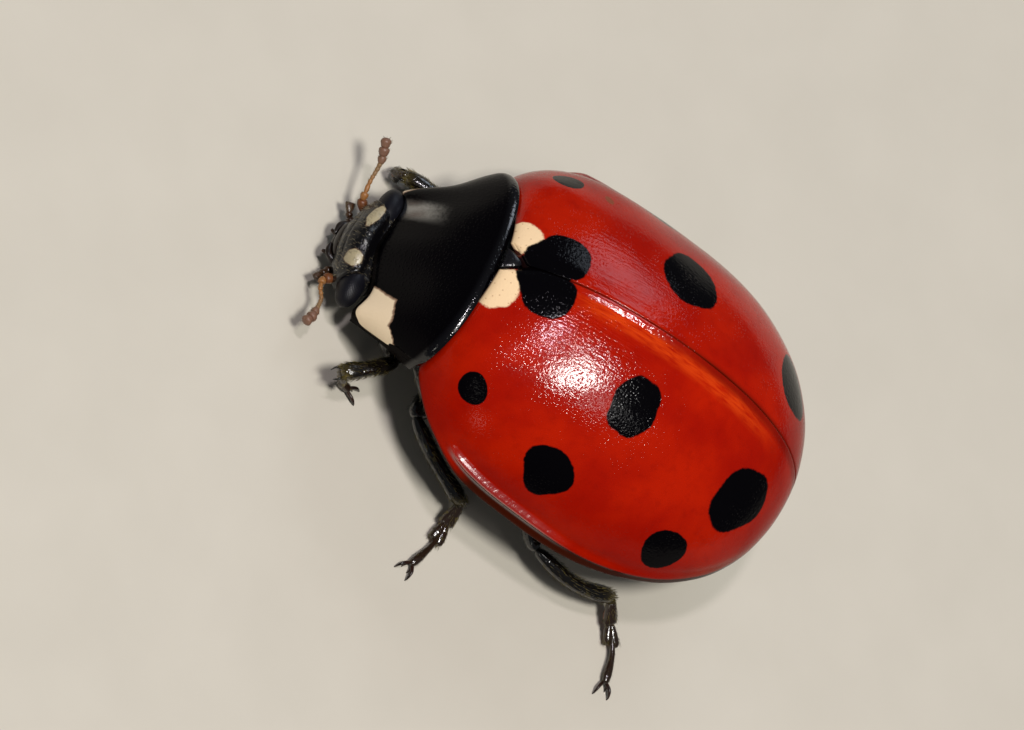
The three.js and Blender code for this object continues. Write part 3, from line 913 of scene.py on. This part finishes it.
def headFinish():
    finish = Finish("head black", shine=0.45)
    place = finish.place()
    ragged = (finish.noise(place, 16.0 / millimetre, 3.0) - 0.5) * 0.5
    cream = None
    for mark in creamSpots.values():
        centre = np.array(mark["centre"])
        middle = tuple(inFrame(centre))
        gap = finish.add("ShaderNodeVectorMath", {"operation": "SUBTRACT"}, {0: place, 1: middle})
        way = unit(inFrame(np.array(mark["way"])) - inFrame(np.zeros(3)))
        lengthwise = finish.add("ShaderNodeVectorMath", {"operation": "DOT_PRODUCT"},
                                {0: gap, 1: tuple(way)}, "Value")
        apart = finish.add("ShaderNodeVectorMath", {"operation": "LENGTH"}, {0: gap}, "Value")
        endwise, sidewise = (half * millimetre for half in mark["half"])
        reach = ((lengthwise / endwise) ** 2.0 + (apart ** 2.0 - lengthwise ** 2.0) / sidewise ** 2).root()
        patch = (1.0 + ragged - reach).fade(-0.08, 0.10)
        cream = patch if cream is None else cream.most(patch)
    colour = finish.mix(cream, headColours["black"], headColours["cream"])
    colour = finish.mix(cream * (1.0 - cream) * 3.0, colour, headColours["creamBorder"])
    pit = finish.pits(place, 30.0 / millimetre, 0.45, flat=False)
    net = finish.noise(place, 70.0 / millimetre, 2.0)
    finish.drive(colour=colour, rough=0.24 + finish.noise(place, 6.0 / millimetre) * 0.12,
                 normal=finish.bump(net * 0.4 - pit, 0.0032, 1.0))
    return finish


def headShape():
    shape = Shape()
    points, outward = ball(shape, head["centre"], head["radii"], head["lean"], 150, 210, dent=headDent)
    rows = luck.integers(20, 130, 2500)
    columns = luck.integers(0, 210, 2500)
    root, way = points[rows, columns], outward[rows, columns]
    keep = (way[:, 2] > -0.2) & (root[:, 1] < -0.45) & (np.abs(root[:, 0]) < 0.42)
    # the hairs stand closest on the cheek between the left eye and the shield
    keep &= (luck.random(2500) < 0.36) | ((np.abs(root[:, 0] - 0.32) < 0.1) & (root[:, 1] > -0.78))
    root, way = root[keep], way[keep]
    spot = np.stack([rows[keep] / 150, columns[keep] / 210], -1)
    forward = unit(np.array([0, -1.0, -0.25]) - way * (way @ np.array([0, -1.0, -0.25]))[:, None])
    bodyCoat.grow(root, way, forward, 0.030, 0.0020, 0.45, spot=spot)
    return shape


def eyeShape(sign):
    # a ball whose surface is a six-sided lattice of small domes, made by three crossing waves
    def facets(points, outward, way):
        reach = np.arccos(np.clip(way[..., 0] * sign, -1, 1)) * 0.17
        spin = np.arctan2(way[..., 2], way[..., 1])
        a, b = reach * np.cos(spin), reach * np.sin(spin)  # the eye side unrolled flat
        wave = 4 * np.pi / (math.sqrt(3) * head["facetPitch"])
        turns = (0, np.pi / 3, 2 * np.pi / 3)
        waves = [np.cos(wave * (a * math.cos(turn) + b * math.sin(turn))) for turn in turns]
        dome = sum(waves) / 3 * smooth(reach, 0.33, 0.27)
        return points + outward * (head["facetHeight"] * dome)[..., None]
    centre = rolled(np.array(head["eyeCentre"]) * (sign, 1, 1))
    shape = Shape()
    ball(shape, centre, head["eyeRadii"], head["eyeLean"], 130, 190, dent=facets)
    return shape


eyeColours = {
    "dark": srgb(7, 7, 11), "light": srgb(24, 24, 31),
}


def eyeFinish():
    finish = Finish("eye", shine=0.22)
    place = finish.place()
    seamToneAndSheenBand = finish.noise(place, 7.0 / millimetre, 2.0)
    colour = finish.mix(seamToneAndSheenBand, eyeColours["dark"], eyeColours["light"])
    finish.drive(colour=colour, rough=0.30 + seamToneAndSheenBand * 0.12)
    return finish


# Feelers: a stout first joint, a flexible lash and a club of three joints
feelers = {
    "left": [(0.40, -0.78, 0.32), (0.465, -0.872, 0.305), (0.56, -0.868, 0.30), (0.669, -0.812, 0.30),
             (0.867, -0.825, 0.30), (0.975, -0.872, 0.305)],
    "right": [(-0.40, -0.79, 0.31), (-0.455, -0.862, 0.35), (-0.500, -0.885, 0.39), (-0.627, -0.912, 0.45),
              (-0.789, -0.925, 0.53), (-0.885, -0.955, 0.575), (-1.005, -1.015, 0.645)],
}
# Each joint: where it starts along the feeler, its half width at the foot and at its widest
feelerJoints = [(0.00, 0.036, 0.052), (0.16, 0.028, 0.040), (0.25, 0.021, 0.029), (0.36, 0.019, 0.026),
                (0.43, 0.019, 0.026), (0.49, 0.019, 0.026), (0.55, 0.020, 0.027), (0.61, 0.021, 0.029),
                (0.66, 0.024, 0.043), (0.76, 0.035, 0.054), (0.87, 0.038, 0.052)]


def feelerShape(side):
    shape = Shape()
    ends = [joint[0] for joint in feelerJoints[1:]] + [1.0]
    for number, ((start, foot, wide), end) in enumerate(zip(feelerJoints, ends)):
        path = smoothPath(feelers[side], np.linspace(start, end + 0.008 * (end < 1), 5))
        narrow = 0.55 if number == len(feelerJoints) - 1 else 0.85
        if 1 < number < 8:
            foot, wide = 0.82 * foot, 0.82 * wide
        swell = [(0, foot), (0.3, 0.45 * foot + 0.55 * wide), (0.72, wide), (1, wide * narrow)]
        flatter = [(s, h * 0.92) for s, h in swell]
        tube = Tube(path, swell, flatter, 16, 18, bluntness=14).addTo(shape, tag=number / 10)
        bodyCoat.growOnTube(tube, 26 if number > 7 else 12, 0.022, 0.0020, 0.5)
    return shape


feelerColours = {
    "dark": srgb(132, 86, 42), "light": srgb(168, 114, 60), "firstJoint": srgb(104, 58, 26),
    "outerLash": srgb(124, 104, 74), "club": srgb(122, 88, 70),
}


def feelerFinish():
    finish = Finish("feeler", shine=0.45)
    place = finish.place()
    number = finish.split(finish.attribute("limb"))[2]
    cloud = finish.noise(place, 30.0 / millimetre, 3.0)
    colour = finish.mix(cloud, feelerColours["dark"], feelerColours["light"])
    colour = finish.mix(number.fade(0.12, 0.02), colour, feelerColours["firstJoint"])
    colour = finish.mix(number.fade(0.2, 0.6) * 0.7, colour, feelerColours["outerLash"])
    colour = finish.mix(number.fade(0.72, 0.82), colour, feelerColours["club"])
    finish.drive(colour=colour, rough=0.34 + cloud * 0.15,
                 normal=finish.bump(finish.noise(place, 90.0 / millimetre, 2.0), 0.0015, 0.8))
    return finish


# Mouth: upper lip, jaws, axe-ended palps and small inner palps
mouthPaths = {
    "jaw": [(0.20, -0.88, 0.27), (0.16, -0.985, 0.255), (0.05, -1.015, 0.25)],
    "palp": [(0.22, -0.84, 0.24), (0.29, -0.90, 0.205), (0.355, -0.945, 0.20), (0.46, -0.985, 0.215)],
    "innerPalp": [(0.09, -0.93, 0.19), (0.115, -0.985, 0.165), (0.125, -1.03, 0.16)],
}
palpJoints = [(0.0, 0.22, 0.024, 0.034), (0.20, 0.48, 0.022, 0.042), (0.46, 0.66, 0.022, 0.036)]


def mouthShape():
    shape = Shape()
    back = np.array([0, 0.07, 0])
    ball(shape, (0, -0.885, 0.335), (0.19, 0.055, 0.070), -0.5, 26, 40)
    ball(shape, (0, -0.79, 0.225), (0.21, 0.15, 0.075), -0.2, 26, 40)
    for sign in (1, -1):
        turned = np.array([sign, 1, 1])
        jaw = np.array(mouthPaths["jaw"]) * turned + back
        Tube(jaw, [(0, 0.06), (0.6, 0.04), (1, 0.012)], [(0, 0.04), (1, 0.015)], 20, 14).addTo(shape)
        palp = np.array(mouthPaths["palp"]) * turned + back
        for start, end, foot, wide in palpJoints:
            knots = smoothPath(palp, np.linspace(start, end, 4))
            swell = [(0, foot), (0.7, wide), (1, wide * 0.85)]
            Tube(knots, swell, swell, 14, 14, bluntness=8).addTo(shape, tag=0.5)
        axe = smoothPath(palp, np.linspace(0.63, 1.0, 4))
        tube = Tube(axe, [(0, 0.022), (0.5, 0.044), (1, 0.054)], [(0, 0.02), (0.6, 0.028), (1, 0.020)],
                    18, 20, bluntness=20).addTo(shape, tag=0.5)
        bodyCoat.growOnTube(tube, 60, 0.025, 0.0022, 0.5)
        inner = np.array(mouthPaths["innerPalp"]) * turned + back
        swell = [(0, 0.018), (0.5, 0.024), (1, 0.014)]
        Tube(inner, swell, swell, 18, 12).addTo(shape, tag=0.5)
    return shape


mouthColours = {
    "dark": srgb(12, 9, 8), "light": srgb(34, 22, 14), "palp": srgb(96, 60, 28),
}


def mouthFinish():
    finish = Finish("mouth brown black", shine=0.5)
    place = finish.place()
    kind = finish.split(finish.attribute("limb"))[2]
    cloud = finish.noise(place, 12.0 / millimetre, 3.0)
    colour = finish.mix(cloud, mouthColours["dark"], mouthColours["light"])
    colour = finish.mix(kind * cloud * 1.2, colour, mouthColours["palp"])
    finish.drive(colour=colour, rough=0.25 + cloud * 0.15,
                 normal=finish.bump(finish.noise(place, 60.0 / millimetre, 2.0), 0.002, 0.8))
    return finish


# Underside: three body rings behind the head
belly = {"depth": 0.36, "roomUnderShell": 0.225, "clearance": 0.02,
         "creases": (0.47, 0.585, 0.69, 0.785, 0.87)}


def trunkShape(first, last, rows, creases=(), hairs=400):
    # between two stations of the dome: its own curve above, a rounded belly with creases below
    side = np.sin(np.linspace(-1, 1, 110) * np.pi / 2)
    side, station = np.meshgrid(side, np.linspace(first, last, rows))
    top = domePoint(side, station, belly["roomUnderShell"])
    top[..., 1] += belly["clearance"] * (1 - station)
    fullness = belly["depth"] * (1 - 0.45 * smooth(station, 0.45, 1))
    bottom = top.copy()
    bottom[..., 2] = shell["rimLevel"] - 0.06 - fullness * np.sqrt(np.clip(1 - np.abs(side) ** 2.4, 0, 1))
    for crease in creases:
        bow = crease - 0.015 * (1 - side ** 2)
        bottom[..., 2] += 0.022 * bellCurve(station - bow, 0.006)
        bottom[..., 2] -= 0.010 * bellCurve(station - bow + 0.018, 0.012)
    bottom[..., 2] += 0.012 * bellCurve(side, 0.03) * (first < 0.1)
    bottom[..., 2] += 0.002 * np.sin(side * 31) * np.sin(station * 190)
    points, faces = slab(top, bottom)
    limb = np.stack([station, side, 0 * side], -1)
    shape = Shape().add(points, faces, limb=np.concatenate([limb, limb]))
    row, column = luck.integers(2, rows - 2, hairs), luck.integers(8, 102, hairs)
    outward = -surfaceNormals(bottom)[row, column]
    backward = unit(np.tile([0.0, 1.0, 0.0], (hairs, 1)) - outward * outward[:, 1:2])
    bodyCoat.grow(bottom[row, column], outward, backward, 0.06, 0.0034, 0.3,
                  spot=np.stack([row / rows, column / 110], -1))
    return shape


def prothoraxShape():
    shape = Shape()
    points, outward = ball(shape, (0, -0.15, 0.58), (0.80, 0.34, 0.32), 0.5, 90, 120)
    keel = [(0, -0.48, 0.38), (0, -0.30, 0.26), (0, -0.06, 0.28), (0, 0.10, 0.36)]
    Tube(keel, [(0, 0.05), (0.5, 0.09), (1, 0.05)], [(0, 0.05), (0.5, 0.07), (1, 0.05)], 30, 20).addTo(shape)
    row, column = luck.integers(8, 82, 900), luck.integers(0, 120, 900)
    root, way = points[row, column], outward[row, column]
    low = way[:, 2] < 0.0
    backward = unit(np.tile([0.0, 1.0, -0.2], (low.sum(), 1)))
    bodyCoat.grow(root[low], way[low], backward, 0.055, 0.0032, 0.4,
                  spot=np.stack([row[low] / 90, column[low] / 120], -1))
    return shape


# Legs
# Where each leg's joints lie: hip, knee, bow of the shin, ankle, two points of the foot and the toe
stances = {
    "front_left": [(0.27, -0.24, 0.38), (0.84, 0.08, 0.48), (1.10, -0.15, 0.52), (1.29, -0.39, 0.46),
                   (1.21, -0.26, 0.24), (1.155, -0.19, 0.085), (1.15, -0.08, 0.05)],
    "front_right": [(-0.27, -0.24, 0.36), (-0.86, 0.14, 0.42), (-0.93, -0.24, 0.46), (-0.97, -0.58, 0.36),
                    (-1.04, -0.61, 0.19), (-1.10, -0.50, 0.080), (-1.125, -0.30, 0.05)],
    "middle_left": [(0.42, 0.92, 0.38), (1.24, 0.42, 0.52), (1.48, 0.84, 0.46), (1.60, 1.33, 0.30),
                    (1.80, 1.32, 0.13), (2.03, 1.30, 0.075), (2.33, 1.19, 0.05)],
    "middle_right": [(-0.42, 0.92, 0.38), (-1.28, 0.60, 0.52), (-1.55, 1.03, 0.46), (-1.62, 1.50, 0.30),
                     (-1.80, 1.56, 0.13), (-1.98, 1.62, 0.075), (-2.20, 1.72, 0.05)],
    "hind_left": [(0.60, 1.72, 0.40), (1.64, 2.10, 0.46), (1.66, 2.64, 0.40), (1.47, 3.12, 0.28),
                  (1.66, 3.28, 0.12), (1.86, 3.42, 0.075), (2.17, 3.485, 0.05)],
    "hind_right": [(-0.60, 1.72, 0.40), (-1.58, 2.22, 0.48), (-1.60, 2.74, 0.40), (-1.42, 3.18, 0.28),
                   (-1.55, 3.34, 0.12), (-1.67, 3.48, 0.075), (-1.86, 3.70, 0.05)],
}
legSizes = {
    "coxa": 0.2,
    "femurWide": [(0, 0.10), (0.35, 0.165), (0.75, 0.14), (1, 0.075)],
    "femurDeep": [(0, 0.09), (0.35, 0.135), (0.75, 0.12), (1, 0.07)],
    "tibiaWide": [(0, 0.050), (0.14, 0.068), (0.6, 0.070), (0.92, 0.080), (1, 0.066)],
    "tibiaDeep": [(0, 0.05), (0.14, 0.062), (0.6, 0.060), (0.92, 0.066), (1, 0.058)],
    "clawLength": 0.15, "clawRadius": 0.019, "spurLength": 0.10,
}


def legShapes(hip, knee, shin, ankle, instep, ballOfFoot, toe):
    hip, knee, shin, ankle, instep, ballOfFoot, toe = (np.array(place) for place in
                                                       (hip, knee, shin, ankle, instep, ballOfFoot, toe))
    parts = {name: Shape() for name in ("coxa", "femur", "tibia", "tarsus", "claws")}
    coxaRadii = np.array([1.15, 1, 1]) * legSizes["coxa"]
    ball(parts["coxa"], hip * (0.86, 1, 1) + (0, 0, 0.03), coxaRadii, 0, 40, 50)
    ball(parts["coxa"], hip + (knee - hip) * 0.10 - (0, 0, 0.02), (0.13, 0.12, 0.11), 0, 24, 30)
    bend = unit(np.cross(knee - hip, (0, 0, 1.0))) * 0.03
    thigh = [hip + (knee - hip) * 0.06, hip + (knee - hip) * 0.5 + bend + (0, 0, 0.03),
             knee + (knee - hip) * 0.03]

    def shinGroove(share, angle):
        return -0.22 * bellCurve(np.cos(angle / 2 + np.pi / 4), 0.16) * smooth(share, 0.35, 0.6)

    def shinRidges(share, angle):
        return 0.05 * np.cos(3 * angle) * np.sin(np.pi * share) + 0.02 * np.cos(angle * 5)

    femur = Tube(thigh, legSizes["femurWide"], legSizes["femurDeep"], 56, 40, bluntness=10)
    femur.addTo(parts["femur"], lump=shinGroove)
    legCoat.growOnTube(femur, 150, 0.036, 0.0022, 0.30)
    start = knee + (shin - knee) * 0.05
    tibia = Tube([start, shin, ankle], legSizes["tibiaWide"], legSizes["tibiaDeep"], 60, 36, bluntness=16)
    tibia.addTo(parts["tibia"], tag=0.25, lump=shinRidges)
    legCoat.growOnTube(tibia, 320, 0.046, 0.0024, 0.34, (0.12, 0.97))
    legCoat.growOnTube(tibia, 80, 0.040, 0.0030, 0.25, (0.93, 0.985))
    run = unit(ankle - shin)
    across = unit(np.cross(run, (0, 0, 1.0)))
    for sign in (1, -1):
        foot = ankle + across * 0.045 * sign - run * 0.03 - (0, 0, 0.02)
        spur = [foot, foot + run * 0.06 + across * 0.012 * sign,
                foot + run * legSizes["spurLength"] - (0, 0, 0.03)]
        thin = [(0, 0.016), (1, 0.004)]
        Tube(spur, thin, thin, 14, 10).addTo(parts["tibia"], tag=0.6)
    path = [ankle - run * 0.02, instep, ballOfFoot, toe]
    first = smoothPath(path, np.linspace(0.0, 0.33, 5))
    flat = [(0, 0.040), (0.5, 0.048), (1, 0.036)]
    tarsal = Tube(first, [(0, 0.036), (0.6, 0.070), (1, 0.082)], flat, 26, 22, bluntness=10)
    tarsal.addTo(parts["tarsus"], tag=0.75)
    legCoat.growOnTube(tarsal, 110, 0.038, 0.0024, 0.35)
    run = unit(toe - ballOfFoot)
    across = unit(np.cross(run, (0, 0, 1.0)))
    second = smoothPath(path, np.linspace(0.30, 0.56, 5))
    for sign in (1, -1):
        spread = np.linspace(0.012, 0.042, 5)[:, None] * across * sign
        lobe = Tube(second + spread, [(0, 0.030), (0.6, 0.050), (1, 0.044)],
                    [(0, 0.034), (0.6, 0.042), (1, 0.026)], 24, 18, bluntness=8)
        lobe.addTo(parts["tarsus"], tag=0.75)
        legCoat.growOnTube(lobe, 70, 0.034, 0.0024, 0.35)
    clawJoint = smoothPath(path, np.linspace(0.42, 1.0, 6)) + (0, 0, 0.012)
    last = Tube(clawJoint, [(0, 0.022), (0.45, 0.030), (0.85, 0.044), (1, 0.036)],
                [(0, 0.022), (0.45, 0.028), (0.85, 0.040), (1, 0.032)], 34, 20, bluntness=16)
    last.addTo(parts["tarsus"], tag=0.8)
    legCoat.growOnTube(last, 70, 0.030, 0.0020, 0.3)
    for lower, upper, sink in ((0.05, 0.31, 0.026), (0.34, 0.54, 0.020)):
        sole = smoothPath(path, np.linspace(lower, upper, 5)) - (0, 0, sink)
        sole[:, 2] = np.maximum(sole[:, 2], 0.030)
        Tube(sole, [(0, 0.034), (0.6, 0.066), (1, 0.056)], [(0, 0.022), (0.5, 0.028), (1, 0.022)], 22, 20,
             bluntness=8).addTo(parts["tarsus"], finish=1, tag=0.75)
    for sign in (1, -1):
        foot = toe + across * 0.018 * sign - run * 0.02
        reach = legSizes["clawLength"]
        claw = [foot, foot + run * reach * 0.45 + across * 0.040 * sign + (0, 0, 0.022),
                foot + run * reach * 0.85 + across * 0.060 * sign + (0, 0, -0.004),
                foot + run * reach * 0.95 + across * 0.062 * sign + (0, 0, -0.040)]
        radius = legSizes["clawRadius"]
        Tube(claw, [(0, radius), (0.5, radius * 0.8), (1, 0.003)], [(0, radius), (0.5, radius), (1, 0.003)],
             24, 12, bluntness=20).addTo(parts["claws"], tag=1.0)
        tooth = [foot + run * 0.02 + across * 0.012 * sign,
                 foot + run * 0.055 + across * 0.02 * sign - (0, 0, 0.02),
                 foot + run * 0.075 + across * 0.02 * sign - (0, 0, 0.045)]
        thin = [(0, 0.016), (1, 0.003)]
        Tube(tooth, thin, thin, 12, 10).addTo(parts["claws"], tag=1.0)
    return parts


legColours = {
    "dark": srgb(6, 5, 5), "light": srgb(20, 15, 9), "shinEnd": srgb(90, 76, 30),
    "foot": srgb(56, 38, 26),
}


def legFinish():
    finish = Finish("leg black", shine=0.8)
    place = finish.place()
    share, _, segment = finish.split(finish.attribute("limb"))
    cloud = finish.noise(place, 9.0 / millimetre, 3.0)
    colour = finish.mix(cloud, legColours["dark"], legColours["light"])
    apex = share.fade(0.80, 1.0) * segment.fade(0.2, 0.25) * segment.fade(0.5, 0.3)
    foot = segment.fade(0.65, 0.75)
    colour = finish.mix(apex * 0.4, colour, legColours["shinEnd"])
    colour = finish.mix(foot * 0.45, colour, legColours["foot"])
    pit = finish.pits(place, 26.0 / millimetre, 0.4, flat=False)
    net = finish.noise(place, 60.0 / millimetre, 2.0)
    finish.drive(colour=colour, rough=0.12 + cloud * 0.10, normal=finish.bump(net * 0.5 - pit, 0.003, 0.9))
    return finish


def plainFinish(name, dark, light, rough, scale=14.0, shine=0.4, depth=0.002):
    # two close colours clouded together over a fine grain
    finish = Finish(name, shine=shine)
    place = finish.place()
    cloud = finish.noise(place, scale / millimetre, 3.0)
    finish.drive(colour=finish.mix(cloud.fade(0.3, 0.7), dark, light), rough=rough + cloud * 0.15,
                 normal=finish.bump(finish.noise(place, 80.0 / millimetre, 2.0), depth, 0.7))
    return finish


build("head_capsule", headShape(), [headFinish()], ["head"])
print("shells and shield built")
eyeLook = eyeFinish()
feelerLook = feelerFinish()
for sign, side in ((1, "left"), (-1, "right")):
    build(f"eye_ball_{side}", eyeShape(sign), [eyeLook], [f"eye_{side}"], sharp=0)
    build(f"feeler_{side}", feelerShape(side), [feelerLook], [f"antenna_{side}"])
build("mouth", mouthShape(), [mouthFinish()], ["mouthparts"])
undersideLook = plateFinish("underside black", srgb(12, 10, 10), 0.18, 0.0050, 16.0)
build("prothorax_ring", prothoraxShape(), [undersideLook], ["prothorax"])
build("thorax_rings", trunkShape(0.0, 0.36, 50, (0.12, 0.30), 300), [undersideLook], ["thorax"])
build("abdomen_rings", trunkShape(0.366, 0.97, 150, belly["creases"], 900), [undersideLook],
      ["abdomen"])
print("head and underside built")
legLook = legFinish()
padLook = plainFinish("foot pad", srgb(112, 50, 20), srgb(160, 84, 36), 0.5, 60.0)
clawLook = plainFinish("claw", srgb(16, 9, 7), srgb(44, 22, 14), 0.2, 10.0, 0.5)
for name, stance in stances.items():
    pair, side = name.split("_")
    parts = legShapes(*stance)
    for segment in ("coxa", "femur", "tibia", "tarsus"):
        build(f"{pair}_leg_{segment}_{side}", parts[segment], [legLook, padLook],
              [f"{pair}_{segment}_{side}"])
    build(f"{pair}_claws_{side}", parts["claws"], [clawLook])
build("leg_hairs", legCoat.shape, [plainFinish("golden hair", srgb(34, 28, 12), srgb(118, 104, 50), 0.3)],
      tufts=np.concatenate(legCoat.patches), sharp=0)
build("body_hairs", bodyCoat.shape, [plainFinish("pale hair", srgb(96, 86, 66), srgb(160, 150, 122), 0.35)],
      tufts=np.concatenate(bodyCoat.patches), sharp=0)
print("legs and hairs built")
